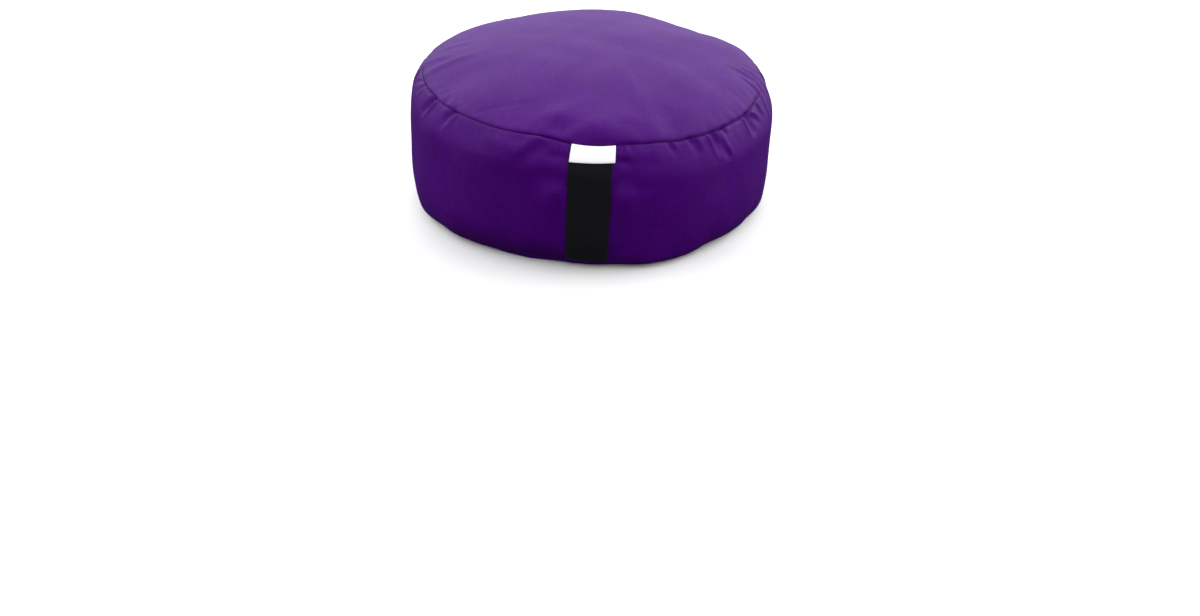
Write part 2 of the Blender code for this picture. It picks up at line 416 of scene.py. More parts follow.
@dataclass
class CushionForm:
    """Shape of the filled cushion: flat base, bulging band and crowned top."""

    crown_top: float
    bulge_radius: float = 0.1745
    seam_radius: float = 0.1625
    top_seam_height: float = 0.128
    bottom_seam_radius: float = 0.163
    bottom_seam_height: float = 0.006
    base_flat_radius: float = 0.150
    upturn_power: float = 1.6
    slope_power: float = 1.5
    band_power: float = 4.6
    lower_band_power: float = 4.2
    crown_power: float = 2.4
    edge_roll: float = 0.008
    edge_reach: float = 0.012
    gather_fade: float = 10.0
    lean_fade: float = 1.5
    tuck_fade: float = 1.5
    draw_fade: float = 3.0
    held_share: float = 0.4
    held_reach: float = 0.004
    # The handle's pull on the top seam, and the swell of the top panel behind it.
    pull_depth: float = 2.4 * MILLIMETRE
    pull_reach: float = 9.0 * MILLIMETRE
    pull_half_width: float = 28.0 * MILLIMETRE
    shoulder_rise: float = 7.2 * MILLIMETRE
    shoulder_x: float = 4.0 * MILLIMETRE
    shoulder_half_width: float = 25.0 * MILLIMETRE
    shoulder_start: float = 4.8 * MILLIMETRE
    shoulder_reach: float = 25.0 * MILLIMETRE
    # The handle's bed in the band, the swells beside it and the pinch along its right edge.
    strap_half_width: float = 19.5 * MILLIMETRE
    strap_top_x: float = 0.1 * MILLIMETRE
    strap_bottom_x: float = -5.2 * MILLIMETRE
    valley_depth: float = 1.0 * MILLIMETRE
    valley_edge: float = 1.5 * MILLIMETRE
    valley_end: float = 0.125
    swell_share: float = 4.5
    swell_start: float = 4.0 * MILLIMETRE
    swell_middle: float = 11.0 * MILLIMETRE
    swell_spread: float = 12.0 * MILLIMETRE
    swell_rise: float = 0.61
    swell_above: float = 0.07
    swell_below: float = 0.26
    dip_share: float = 0.25
    dip_rise: float = 0.745
    dip_spread: float = 0.05
    pinch_share: float = 1.7
    pinch_middle: float = 2.0 * MILLIMETRE
    pinch_spread: float = 2.6 * MILLIMETRE

    @property
    def crown(self) -> float:
        """Rise of the top panel's middle above its seam."""
        return self.crown_top - self.top_seam_height

    def seam_level(self, azimuth: np.ndarray) -> np.ndarray:
        """Height of the top seam at azimuths in degrees."""
        return self.top_seam_height + settled(azimuth, "lift")

    def seam_reach(self, azimuth: np.ndarray) -> np.ndarray:
        """Radius of the top seam at azimuths in degrees."""
        return self.seam_radius - settled(azimuth, "draw")

    def foot(self, azimuth: np.ndarray) -> np.ndarray:
        """Radius of the bottom seam at azimuths in degrees."""
        return self.bottom_seam_radius + settled(azimuth, "foot")

    def pucker_depth(self, puckers: Sequence[Pucker], azimuth: np.ndarray,
                     distance: np.ndarray) -> np.ndarray:
        """Depth of the gathers of one seam.

        Args:
            puckers: The seam's gathers.
            azimuth: Azimuths in degrees.
            distance: Distances from the seam in metres.

        Returns:
            Depths in metres, less at the seam because its stitches hold the cloth.
        """
        depth = np.zeros_like(azimuth)
        for pucker in puckers:
            across = turn_between(azimuth, pucker.azimuth) / pucker.half_width
            depth += pucker.depth * np.exp(-across ** 2 - (distance / pucker.reach) ** 2)
        return depth * (1.0 - self.held_share * np.exp(-np.abs(distance) / self.held_reach))

    def hollow_depth(self, x: np.ndarray, y: np.ndarray) -> np.ndarray:
        """Depth of the top panel's shallow dents.

        Args:
            x: Places to the right of the axis, in metres.
            y: Places behind the axis, in metres.

        Returns:
            Depths in metres.
        """
        depth = np.zeros_like(x)
        for hollow in HOLLOWS:
            angle = math.radians(hollow.azimuth)
            reach = self.seam_radius * hollow.share
            away = np.hypot(x - reach * math.cos(angle), y - reach * math.sin(angle))
            depth += hollow.depth * np.exp(-(away / hollow.radius) ** 2)
        return depth

    def strap_pull(self, azimuth: np.ndarray, distance: np.ndarray) -> np.ndarray:
        """How far the handle pulls the seam and the cloth beside it down.

        Args:
            azimuth: Azimuths in degrees.
            distance: Distances from the top seam in metres.

        Returns:
            Distances down in metres.
        """
        x = self.seam_radius * np.radians(turn_between(azimuth, FRONT))
        fall = (x / self.pull_half_width) ** 4
        return self.pull_depth * np.exp(-fall - distance / self.pull_reach)

    def shoulder(self, azimuth: np.ndarray, inwards: np.ndarray) -> np.ndarray:
        """Swell of the top panel behind the handle, where its seam is pulled down.

        Args:
            azimuth: Azimuths in degrees.
            inwards: Distances in from the top seam, in metres.

        Returns:
            Heights in metres.
        """
        x = self.seam_radius * np.radians(turn_between(azimuth, FRONT)) - self.shoulder_x
        across = np.exp(-(x / self.shoulder_half_width) ** 2 - (inwards / self.shoulder_reach) ** 2)
        return self.shoulder_rise * across * (1.0 - np.exp(-inwards / self.shoulder_start))

    def strap_valley(self, azimuth: np.ndarray, rise: np.ndarray) -> np.ndarray:
        """Depth of the valley that the handle presses into the band.

        The cloth swells up on both sides of it, with a dip above the swell, and is pinched
        in along the handle's right edge.

        Args:
            azimuth: Azimuths in degrees.
            rise: Shares of the band's height.

        Returns:
            Depths in metres, negative where the cloth swells.
        """
        centre = self.strap_bottom_x + (self.strap_top_x - self.strap_bottom_x) * rise
        x = self.bulge_radius * np.radians(turn_between(azimuth, FRONT)) - centre
        beside = np.abs(x) - self.strap_half_width
        pressed = 0.5 - 0.5 * np.tanh(beside / self.valley_edge)
        swell = np.exp(-((beside - self.swell_middle) / self.swell_spread) ** 2)
        swell = swell * np.clip(beside / self.swell_start, 0.0, 1.0)
        spread = np.where(rise > self.swell_rise, self.swell_above, self.swell_below)
        fold = np.exp(-((rise - self.swell_rise) / spread) ** 2)
        fold = fold - self.dip_share * np.exp(-((rise - self.dip_rise) / self.dip_spread) ** 2)
        pinch = np.exp(-((x - self.strap_half_width - self.pinch_middle) / self.pinch_spread) ** 2)
        shape = pressed - self.swell_share * swell * fold + self.pinch_share * pinch
        return self.valley_depth * shape

    def band_profile(self, azimuth: np.ndarray, rise: np.ndarray) -> tuple[np.ndarray, np.ndarray]:
        """Radii and heights of the smooth band.

        Args:
            azimuth: Azimuths in degrees.
            rise: Shares of the band's height, 0 at the bottom seam and 1 at the top one.

        Returns:
            The radii and the heights, in metres.
        """
        across = 2.0 * rise - 1.0
        corner = settled(azimuth, "corner")
        straight = np.clip((across - corner) / (1.0 - corner), 0.0, 1.0)
        straight = straight ** self.slope_power
        above = np.clip(across, 0.0, 1.0) ** self.band_power
        above = above + (straight - above) * settled(azimuth, "slope")
        fullness = 1.0 - above - np.clip(-across, 0.0, 1.0) ** self.lower_band_power
        foot = self.foot(azimuth)
        seam = foot + (self.seam_reach(azimuth) - foot) * rise
        widest = self.bulge_radius + settled(azimuth, "bulge")
        widest = widest - settled(azimuth, "tuck") * (1.0 - rise) ** self.tuck_fade
        climb = self.seam_level(azimuth) - self.bottom_seam_height
        height = self.bottom_seam_height + climb * rise
        return seam + (widest - seam) * fullness, height

    def band(self, azimuth: np.ndarray, rise: np.ndarray) -> np.ndarray:
        """Points of the gathered band.

        Args:
            azimuth: Azimuths in degrees.
            rise: Shares of the band's height.

        Returns:
            A row of x, y and z for each point.
        """
        radius, height = self.band_profile(azimuth, rise)
        below = self.seam_level(azimuth) - height
        radius = radius - self.pucker_depth(TOP_PUCKERS, azimuth, below)
        above = height - self.bottom_seam_height
        radius = radius - self.pucker_depth(BOTTOM_PUCKERS, azimuth, above)
        ended = np.clip((1.0 - rise) / self.valley_end, 0.0, 1.0)
        radius = radius - self.strap_valley(azimuth, rise) * ended
        return around(azimuth, radius, height - self.strap_pull(azimuth, below))

    def top(self, azimuth: np.ndarray, share: np.ndarray) -> np.ndarray:
        """Points of the top panel.

        Args:
            azimuth: Azimuths in degrees.
            share: Shares of the panel's radius, 0 at its centre and 1 at its seam.

        Returns:
            A row of x, y and z for each point.
        """
        gathered = self.pucker_depth(TOP_PUCKERS, azimuth, np.zeros_like(azimuth))
        drawn = settled(azimuth, "draw") * share ** self.draw_fade
        radius = (self.seam_radius - gathered * share ** self.gather_fade - drawn) * share
        angle = np.radians(azimuth)
        x, y = radius * np.cos(angle), radius * np.sin(angle)
        inwards = self.seam_radius * (1.0 - share)
        extra = settled(azimuth, "roll") - self.edge_roll
        rolled = self.edge_roll + extra * share ** self.draw_fade
        roll = rolled * (1.0 - np.exp(-inwards / self.edge_reach))
        swell = (self.crown - self.edge_roll) * (1.0 - share ** self.crown_power)
        level = self.top_seam_height + settled(azimuth, "lift") * share ** self.lean_fade
        fade = np.minimum(1.0, inwards / self.edge_reach)
        height = level + roll + swell + self.shoulder(azimuth, inwards)
        height = height - fade * self.hollow_depth(x, y)
        height = height - self.strap_pull(azimuth, inwards) * share ** self.gather_fade
        return np.stack((x, y, height), axis=1)

    def bottom(self, azimuth: np.ndarray, share: np.ndarray) -> np.ndarray:
        """Points of the bottom panel: flat where it rests, turned up towards its seam.

        Args:
            azimuth: Azimuths in degrees.
            share: Shares of the panel's radius, 0 at its centre and 1 at its seam.

        Returns:
            A row of x, y and z for each point.
        """
        gathered = self.pucker_depth(BOTTOM_PUCKERS, azimuth, np.zeros_like(azimuth))
        valley = self.strap_valley(azimuth, np.zeros_like(azimuth))
        foot = self.foot(azimuth)
        radius = (foot - (gathered + valley) * share ** self.gather_fade) * share
        turned = foot - self.base_flat_radius
        upturn = np.clip((radius - self.base_flat_radius) / turned, 0.0, 1.0) ** self.upturn_power
        return around(azimuth, radius, self.bottom_seam_height * upturn)

    def front(self, x: np.ndarray, drop: np.ndarray, stand_off: np.ndarray) -> np.ndarray:
        """Points in front of the smooth band, for what is sewn on there.

        Args:
            x: Places to the right of the middle, in metres.
            drop: Distances down the band from the top seam, in metres.
            stand_off: Distances out from the band, in metres.

        Returns:
            A row of x, y and z for each point.
        """
        rise = np.interp(drop, *self._front_line())
        azimuth = FRONT + np.degrees(np.arcsin(x / self.bulge_radius))
        step = 0.004
        radius, height = self.band_profile(azimuth, np.clip(rise, 0.0, 1.0))
        above = self.band_profile(azimuth, np.clip(rise + step, 0.0, 1.0))
        below = self.band_profile(azimuth, np.clip(rise - step, 0.0, 1.0))
        run, climb = above[0] - below[0], above[1] - below[1]
        length = np.hypot(run, climb)
        radius = radius + stand_off * climb / length
        height = height - stand_off * run / length - self.strap_pull(azimuth, drop)
        return around(azimuth, radius, height)

    def _front_line(self) -> tuple[np.ndarray, np.ndarray]:
        """Line down the middle of the front, from the top seam to the bottom one.

        Returns:
            Drops along the line in metres, and the rise at each.
        """
        rises = np.linspace(1.0, 0.0, 400)
        radii, heights = self.band_profile(np.full_like(rises, FRONT), rises)
        return np.concatenate(([0.0], np.cumsum(np.hypot(np.diff(radii), np.diff(heights))))), rises

    def band_length(self) -> float:
        """Length of the band's cloth at the front, from seam to seam, in metres."""
        return float(self._front_line()[0][-1])


class Nodes:
    """Short way to add and join the nodes of one tree."""

    def __init__(self, tree: bpy.types.NodeTree) -> None:
        """Work on the nodes of a tree."""
        self.tree = tree

    def node(self, kind: str, links: dict[str | int, Socket | float | tuple] | None = None,
             **settings: object) -> bpy.types.Node:
        """Add a node.

        Args:
            kind: The node's type.
            links: Values or sockets for its inputs, by name or number.
            settings: Attributes of the node.

        Returns:
            The new node.
        """
        made = self.tree.nodes.new(kind)
        for key, value in settings.items():
            setattr(made, key, value)
        for key, value in (links or {}).items():
            self.feed(made.inputs[key], value)
        return made

    def feed(self, socket: Socket, value: Socket | float | tuple) -> None:
        """Join a socket to an input, or set the input's own value.

        Args:
            socket: The input.
            value: The socket to join to it, or the value to set.
        """
        if isinstance(value, bpy.types.NodeSocket):
            self.tree.links.new(value, socket)
        else:
            socket.default_value = value

    def axes(self, vector: Socket) -> Sequence[Socket]:
        """Parts of a vector along X, Y and Z."""
        return self.node("ShaderNodeSeparateXYZ", {0: vector}).outputs

    def math(self, operation: str, *values: Socket | float) -> Socket:
        """Result of a Math node."""
        made = self.node("ShaderNodeMath", dict(enumerate(values)), operation=operation)
        return made.outputs[0]

    def remap(self, value: Socket, low: float, high: float, to_low: float,
              to_high: Socket | float) -> Socket:
        """Value carried from one range to another and held inside it."""
        made = self.node("ShaderNodeMapRange", {0: value, 1: low, 2: high, 3: to_low, 4: to_high})
        return made.outputs[0]


class Shader(Nodes):
    """Nodes of one procedural material."""

    def __init__(self, name: str) -> None:
        """Start a material with one Principled shader.

        Args:
            name: The material's name.
        """
        self.material = bpy.data.materials.new(name)
        self.material.use_nodes = True
        super().__init__(self.material.node_tree)
        self.principled = self.tree.nodes["Principled BSDF"]

    def pattern(self) -> Socket:
        """Coordinates of the cloth's flat pattern, in metres."""
        return self.node("ShaderNodeUVMap", uv_map="pattern").outputs[0]

    def wave(self, value: Socket, half_length: float) -> Socket:
        """Sine of a length, between -1 and 1."""
        return self.math("SINE", self.math("MULTIPLY", value, math.pi / half_length))

    def product(self, *values: Socket) -> Socket:
        """Product of two or more values.

        Args:
            values: The values' sockets.

        Returns:
            The product's socket.
        """
        made = values[0]
        for value in values[1:]:
            made = self.math("MULTIPLY", made, value)
        return made

    def noise(self, vector: Socket, scale: float, detail: float = 2.0) -> Socket:
        """Smooth noise between 0 and 1."""
        made = self.node("ShaderNodeTexNoise", {"Vector": vector, "Scale": scale, "Detail": detail})
        return made.outputs[0]

    def stretched(self, vector: Socket, scale: Scale) -> Socket:
        """Coordinates scaled along each axis."""
        return self.node("ShaderNodeMapping", {"Vector": vector, "Scale": scale}).outputs[0]

    def dyed(self, colour: Colour, tone: Socket) -> Socket:
        """A colour made lighter or darker.

        Args:
            colour: The colour.
            tone: What multiplies it, about 1.

        Returns:
            The new colour's socket.
        """
        gray = self.node("ShaderNodeCombineColor", {0: tone, 1: tone, 2: tone}).outputs[0]
        made = self.node("ShaderNodeMix", {0: 1.0}, data_type="RGBA", blend_type="MULTIPLY")
        self.feed(made.inputs[6], solid(colour))
        self.feed(made.inputs[7], gray)
        return made.outputs[2]

    def bump(self, height: Socket, distance: float, strength: float = 1.0,
             under: Socket | None = None) -> Socket:
        """Normal of a relief, with the height in units of distance.

        Args:
            height: The relief.
            distance: How far a height of 1 stands proud, in metres.
            strength: The share of the relief that shows.
            under: The normal of a coarser relief below this one.

        Returns:
            The normal socket.
        """
        settings = {"Strength": strength, "Distance": distance, "Height": height}
        made = self.node("ShaderNodeBump", settings)
        if under is not None:
            self.feed(made.inputs["Normal"], under)
        return made.outputs[0]

    def dress(self, piece: bpy.types.Object, finish: dict[str, Socket | float | tuple]) -> None:
        """Set the Principled shader's inputs and give the material to a piece.

        Args:
            piece: The piece.
            finish: Values or sockets by the inputs' names.
        """
        for name, value in finish.items():
            self.feed(self.principled.inputs[name], value)
        piece.data.materials.append(self.material)


def solid(colour: Colour) -> tuple[float, float, float, float]:
    """Opaque colour of three linear values."""
    return *colour, 1.0


@dataclass(frozen=True)
class CanvasCloth:
    """Purple cotton canvas: plain weave, slubs, faint mottling, a soft bloom and painted shade in
    the seam grooves.
    """

    colour: Colour = (0.0495, 0.0005, 0.140)
    pitch: float = 0.62 * MILLIMETRE
    relief: float = 0.10 * MILLIMETRE
    slub_relief: float = 0.25 * MILLIMETRE
    wander: float = 1.2
    wander_scale: Scale = (140.0, 140.0, 1.0)
    warp_scale: Scale = (560.0, 55.0, 1.0)
    weft_scale: Scale = (50.0, 520.0, 1.0)
    fleck_scale: Scale = (620.0, 480.0, 1.0)
    patch_scale: float = 48.0
    mottle_scale: float = 210.0
    slub_tones: Range = (0.86, 1.20)
    patch_tones: Range = (0.95, 1.05)
    mottle_tones: Range = (0.92, 1.08)
    fleck_tones: Range = (0.80, 1.0)
    weave_tones: Range = (0.90, 1.08)
    # How dark the painted shade in the seam grooves makes the cloth.
    groove_painted_shade: float = 0.52
    roughness: float = 0.54
    shine: float = 0.27
    bloom: Colour = (1.0, 0.66, 0.70)
    bloom_weight: float = 0.01
    bloom_roughness: float = 0.45

    def dress(self, piece: bpy.types.Object) -> None:
        """Give a piece this finish.

        Args:
            piece: A piece with the flat pattern as its UV map, in metres.
        """
        shader = Shader("purple_canvas")
        cloth = shader.pattern()
        wander = shader.noise(shader.stretched(cloth, self.wander_scale), 1.0)
        bent = shader.math("SUBTRACT", wander, 0.5)
        bent = shader.math("MULTIPLY", bent, self.wander * self.pitch)
        along, across = (shader.wave(shader.math("ADD", axis, bent), self.pitch)
                         for axis in shader.axes(cloth)[:2])
        weave = shader.remap(shader.product(along, across), -1.0, 1.0, 0.0, 1.0)
        slub = self._slub(shader, cloth)
        coarse = shader.bump(slub, self.slub_relief, 0.5)
        shader.dress(piece, {
            "Base Color": shader.dyed(self.colour, self._tone(shader, cloth, weave, slub)),
            "Normal": shader.bump(weave, self.relief, 0.8, under=coarse),
            "Roughness": self.roughness,
            "Specular IOR Level": self.shine,
            "Specular Tint": solid(self.bloom),
            "Sheen Weight": self.bloom_weight,
            "Sheen Roughness": self.bloom_roughness,
            "Sheen Tint": solid(self.bloom),
        })

    def _slub(self, shader: Shader, cloth: Socket) -> Socket:
        """Thicker stretches of yarn, along the warp and the weft.

        Args:
            shader: The material's nodes.
            cloth: Coordinates of the flat pattern.

        Returns:
            The yarn's thickness, between 0 and 1.
        """
        warp, weft = (shader.noise(shader.stretched(cloth, scale), 1.0, 3.0)
                      for scale in (self.warp_scale, self.weft_scale))
        return shader.math("MAXIMUM", warp, weft)

    def _tone(self, shader: Shader, cloth: Socket, weave: Socket, slub: Socket) -> Socket:
        """Lightness of the dyed cloth: yarns, mottling, and painted shade in the seam grooves.

        Args:
            shader: The material's nodes.
            cloth: Coordinates of the flat pattern.
            weave: Relief of the crossing yarns, between 0 and 1.
            slub: Thickness of the yarn.

        Returns:
            A tone about 1.
        """
        inside = shader.node("ShaderNodeTexCoord").outputs["Object"]
        patches = shader.noise(inside, self.patch_scale)
        mottle = shader.noise(inside, self.mottle_scale)
        fleck = shader.noise(shader.stretched(cloth, self.fleck_scale), 1.0, 1.0)
        # Painted shade along the seam grooves, stored on the mesh as an attribute.
        shade = shader.node("ShaderNodeAttribute", attribute_name="seam_painted_shade").outputs["Fac"]
        return shader.product(shader.remap(slub, 0.42, 0.78, *self.slub_tones),
                              shader.remap(patches, 0.3, 0.7, *self.patch_tones),
                              shader.remap(mottle, 0.3, 0.7, *self.mottle_tones),
                              shader.remap(fleck, 0.22, 0.34, *self.fleck_tones),
                              shader.remap(weave, 0.0, 1.0, *self.weave_tones),
                              shader.remap(shade, 0.0, 1.0, 1.0, self.groove_painted_shade))


@dataclass(frozen=True)
class Webbing:
    """Black cotton webbing: cords along the strap, crossed by a close weft."""

    colour: Colour = (0.0085, 0.0078, 0.0100)
    cord_pitch: float = 1.55 * MILLIMETRE
    pick_pitch: float = 0.95 * MILLIMETRE
    relief: float = 0.16 * MILLIMETRE
    fibre_scale: Scale = (1500.0, 260.0, 1.0)
    fibre_tones: Range = (0.85, 1.15)
    weave_tones: Range = (0.75, 1.20)
    roughness: float = 0.72
    shine: float = 0.3
    bloom_weight: float = 0.06
    bloom_roughness: float = 0.4

    def dress(self, piece: bpy.types.Object) -> None:
        """Give a piece this finish.

        Args:
            piece: A piece with a UV map in metres across and along the strap.
        """
        shader = Shader("black_webbing")
        cloth = shader.pattern()
        across, along, _ = shader.axes(cloth)
        weave = shader.product(shader.wave(across, self.cord_pitch),
                               shader.wave(along, self.pick_pitch))
        weave = shader.remap(weave, -1.0, 1.0, 0.0, 1.0)
        fibre = shader.noise(shader.stretched(cloth, self.fibre_scale), 1.0)
        tone = shader.product(shader.remap(weave, 0.0, 1.0, *self.weave_tones),
                              shader.remap(fibre, 0.25, 0.75, *self.fibre_tones))
        shader.dress(piece, {
            "Base Color": shader.dyed(self.colour, tone),
            "Normal": shader.bump(weave, self.relief, 0.8),
            "Roughness": self.roughness,
            "Specular IOR Level": self.shine,
            "Sheen Weight": self.bloom_weight,
            "Sheen Roughness": self.bloom_roughness,
        })


@dataclass(frozen=True)
class SatinTag:
    """White woven satin of the label, bare of any print."""

    colour: Colour = (0.94, 0.94, 0.955)
    half_rib: float = 0.15 * MILLIMETRE
    relief: float = 0.03 * MILLIMETRE
    fibre_scale: Scale = (4000.0, 300.0, 1.0)
    fibre_tones: Range = (0.965, 1.0)
    roughness: float = 0.46
    shine: float = 0.45

    def dress(self, piece: bpy.types.Object) -> None:
        """Give a piece this finish.

        Args:
            piece: A piece with a UV map in metres across and along the label.
        """
        shader = Shader("white_satin")
        cloth = shader.pattern()
        ribs = shader.remap(shader.wave(shader.axes(cloth)[1], self.half_rib), -1.0, 1.0, 0.0, 1.0)
        fibre = shader.noise(shader.stretched(cloth, self.fibre_scale), 1.0)
        tone = shader.remap(fibre, 0.3, 0.7, *self.fibre_tones)
        shader.dress(piece, {
            "Base Color": shader.dyed(self.colour, tone),
            "Normal": shader.bump(ribs, self.relief, 0.5),
            "Roughness": self.roughness,
            "Specular IOR Level": self.shine,
        })


@dataclass(frozen=True)
class BackCreases:
    """Ranges that the creases of the back are drawn from, in degrees and millimetres."""

    azimuths: Range = (6.0, 166.0)
    gap: Range = (7.0, 17.0)
    lean: Range = (-4.5, 4.5)
    to_drop: Range = (10.0, 26.0)
    ridge: Range = (0.7, 1.6)
    trough: Range = (0.8, 2.0)
    width: Range = (1.5, 2.3)
    beside: Range = (4.0, 6.0)
    crisp: Range = (0.3, 0.7)
    top_azimuths: Range = (70.0, 135.0)
    top_reach: Range = (14.0, 30.0)
    top_share: float = 0.5


@dataclass
class FilledCushion:
    """The sewn and filled drum of canvas."""

    form: CushionForm
    # The three cut panels, the rows of quads that they are divided into, and how far the
    # base's pattern lies from the top's.
    columns: int = 344
    cut_radius: float = 0.168
    cut_height: float = 0.130
    first_row: float = 1.2 * MILLIMETRE
    row_growth: float = 1.35
    widest_row: float = 4.6 * MILLIMETRE
    top_rows: int = 6
    bottom_rows: int = 3
    base_rings: int = 6
    base_away: float = 0.4
    # The grooves of both seams and of the band's closing seam at the back, the shade painted
    # into them, and where the top seam is lost among folds or drawn in deepest.
    groove_depth: float = 2.2 * MILLIMETRE
    groove_reach: float = 1.0 * MILLIMETRE
    painted_shade_reach: float = 0.75 * MILLIMETRE
    closing_azimuth: float = 90.0
    closing_depth: float = 0.9 * MILLIMETRE
    closing_painted_shade: float = 0.8
    lost_seam_azimuth: float = 353.0
    lost_seam_spread: float = 10.0
    lost_seam_share: float = 0.85
    deep_seam_share: float = 0.5
    # The small waves of loosely filled cloth, and of cloth eased into the top seam, which
    # fade out at the handle.
    seed: int = 11
    uneven: float = 0.26 * MILLIMETRE
    uneven_waves: int = 28
    uneven_lengths: Range = (0.024, 0.075)
    uneven_middle: float = 0.05
    ease: float = 0.30 * MILLIMETRE
    ease_reach: float = 11.0 * MILLIMETRE
    ease_start: float = 1.2 * MILLIMETRE
    ease_waves: int = 14
    ease_counts: tuple[int, int] = (34, 96)
    ease_lean: float = 9.0
    ease_lean_length: float = 0.02
    ease_inner: float = 1.6
    swell_counts: tuple[int, int] = (2, 11)
    handle_half_width: float = 0.019
    handle_fade: float = 0.008
    handle_top: float = 1.0 * MILLIMETRE
    # How creases fall off sideways and fade at their ends and at the seams.
    crisp_fall: float = 1.4
    trough_share: float = 0.62
    free_drop: float = 4.0
    free_power: float = 0.7
    held_power: float = 0.8
    run_on: float = 1.5 * MILLIMETRE
    seam_stop: float = 0.8 * MILLIMETRE
    stitch_share: float = 0.5
    stitch_reach: float = 1.2 * MILLIMETRE
    far_turn: float = 1.2
    back: BackCreases = BackCreases()
    # The cloth simulation.
    pressure: float = 4.0
    frames: int = 20
    smoothing_rounds: int = 60
    wrinkle_cap: float = 5.0 * MILLIMETRE

    def build(self) -> bpy.types.Object:
        """Cut, sew, fill and crease the cushion, and dress it.

        Returns:
            The finished cushion.
        """
        piece = self._sewn_drum()
        cut = positions(piece.data)
        self._keep_cut(piece.data, cut)
        place(piece.data, self._formed(cut))
        self._hold_seams(piece.data, cut)
        self._inflate(piece, cut)
        subdivide(piece, 1)
        self._close_base(piece)
        self._crease(piece.data)
        self._lay_pattern(piece.data)
        CanvasCloth().dress(piece)
        select_only(piece)
        bpy.ops.object.shade_smooth()
        return piece

    def _row_gaps(self, length: float) -> list[float]:
        """Row heights up a length: close at both ends, even in the middle.

        Args:
            length: The distance that the rows fill, in metres.

        Returns:
            The gap of each row, adding up to length.
        """
        gaps = []
        gap = self.first_row
        while gap < self.widest_row and 2.0 * (sum(gaps) + gap) < length:
            gaps.append(gap)
            gap *= self.row_growth
        middle = length - 2.0 * sum(gaps)
        count = max(1, round(middle / self.widest_row))
        return gaps + [middle / count] * count + gaps[::-1]

    def _edge_gaps(self, rows: int) -> list[float]:
        """Gaps of the rows of a round panel that lie next to its seam, outermost first."""
        return [min(self.widest_row, self.first_row * self.row_growth ** row)
                for row in range(rows)]

    def _sewn_drum(self) -> bpy.types.Object:
        """Drum of the three cut panels, before it is filled.

        Returns:
            An object of even quads, with its base at height 0.
        """
        inset = sum(self._edge_gaps(self.bottom_rows))
        radius = (self.cut_radius - inset) / (self.base_rings + 1)
        step = radius
        bpy.ops.object.select_all(action="DESELECT")
        bpy.ops.mesh.primitive_circle_add(vertices=self.columns, radius=radius)
        piece = bpy.context.object
        piece.name = piece.data.name = "filled_cushion"
        bpy.ops.object.mode_set(mode="EDIT")
        bpy.ops.mesh.select_all(action="SELECT")
        for _ in range(self.base_rings):
            radius = self._extrude_out(radius, radius + step)
        for gap in reversed(self._edge_gaps(self.bottom_rows)):
            radius = self._extrude_out(radius, radius + gap)
        for gap in self._row_gaps(self.cut_height):
            bpy.ops.mesh.extrude_region_move(TRANSFORM_OT_translate={"value": (0.0, 0.0, gap)})
        for gap in self._edge_gaps(self.top_rows):
            radius = self._extrude_out(radius, radius - gap)
        bpy.ops.mesh.fill_grid(span=self.columns // 4)
        bpy.ops.mesh.select_all(action="SELECT")
        bpy.ops.mesh.normals_make_consistent(inside=False)
        bpy.ops.object.mode_set(mode="OBJECT")
        return piece

    def _extrude_out(self, radius: float, wanted: float) -> float:
        """Extrude the selected ring and scale the copy about the axis.

        Args:
            radius: The ring's radius.
            wanted: The copy's radius.

        Returns:
            The copy's radius.
        """
        bpy.ops.mesh.extrude_region_move(TRANSFORM_OT_translate={"value": (0.0, 0.0, 0.0)})
        share = wanted / radius
        bpy.ops.transform.resize(value=(share, share, 1.0))
        return wanted

    @staticmethod
    def _close_base(piece: bpy.types.Object) -> None:
        """Close the small round opening in the middle of the flat base.

        Args:
            piece: The cushion.
        """
        select_only(piece)
        bpy.ops.object.mode_set(mode="EDIT")
        bpy.ops.mesh.select_all(action="DESELECT")
        bpy.ops.mesh.select_non_manifold(extend=False, use_wire=False, use_multi_face=False,
                                         use_non_contiguous=False, use_verts=False)
        bpy.ops.mesh.edge_face_add()
        bpy.ops.mesh.poke()
        bpy.ops.object.mode_set(mode="OBJECT")

    @staticmethod
    def _keep_cut(mesh: bpy.types.Mesh, cut: np.ndarray) -> None:
        """Keep each vertex's place on the cut drum as an attribute."""
        kept = mesh.attributes.new("cut", "FLOAT_VECTOR", "POINT")
        kept.data.foreach_set("vector", cut.astype(np.float32).ravel())

    @staticmethod
    def _kept_cut(mesh: bpy.types.Mesh) -> np.ndarray:
        """Places on the cut drum, read back from the subdivided mesh.

        Args:
            mesh: The subdivided cushion.

        Returns:
            A row of x, y and z for each vertex.
        """
        flat = np.empty(len(mesh.vertices) * 3, dtype=np.float32)
        mesh.attributes["cut"].data.foreach_get("vector", flat)
        return flat.reshape(-1, 3).astype(float)

    def _chart(self, cut: np.ndarray) -> tuple[np.ndarray, ...]:
        """Where each point of the cut drum lies on its panel.

        Args:
            cut: Places on the cut drum.

        Returns:
            Masks of the top, band and bottom points, their azimuths in degrees, their
            shares of the panel's radius and their rises up the band.
        """
        edge = 1e-6
        radius = np.hypot(cut[:, 0], cut[:, 1])
        azimuth = np.degrees(np.arctan2(cut[:, 1], cut[:, 0])) % 360.0
        top = cut[:, 2] > self.cut_height - edge
        bottom = cut[:, 2] < edge
        share = np.clip(radius / self.cut_radius, 0.0, 1.0)
        rise = np.clip(cut[:, 2] / self.cut_height, 0.0, 1.0)
        return top, ~(top | bottom), bottom, azimuth, share, rise

    def _formed(self, cut: np.ndarray) -> np.ndarray:
        """Places of the cut drum's points on the filled cushion.

        Args:
            cut: Places on the cut drum.

        Returns:
            A row of x, y and z for each point.
        """
        top, band, bottom, azimuth, share, rise = self._chart(cut)
        formed = np.empty_like(cut)
        formed[top] = self.form.top(azimuth[top], share[top])
        formed[band] = self.form.band(azimuth[band], rise[band])
        formed[bottom] = self.form.bottom(azimuth[bottom], share[bottom])
        return formed

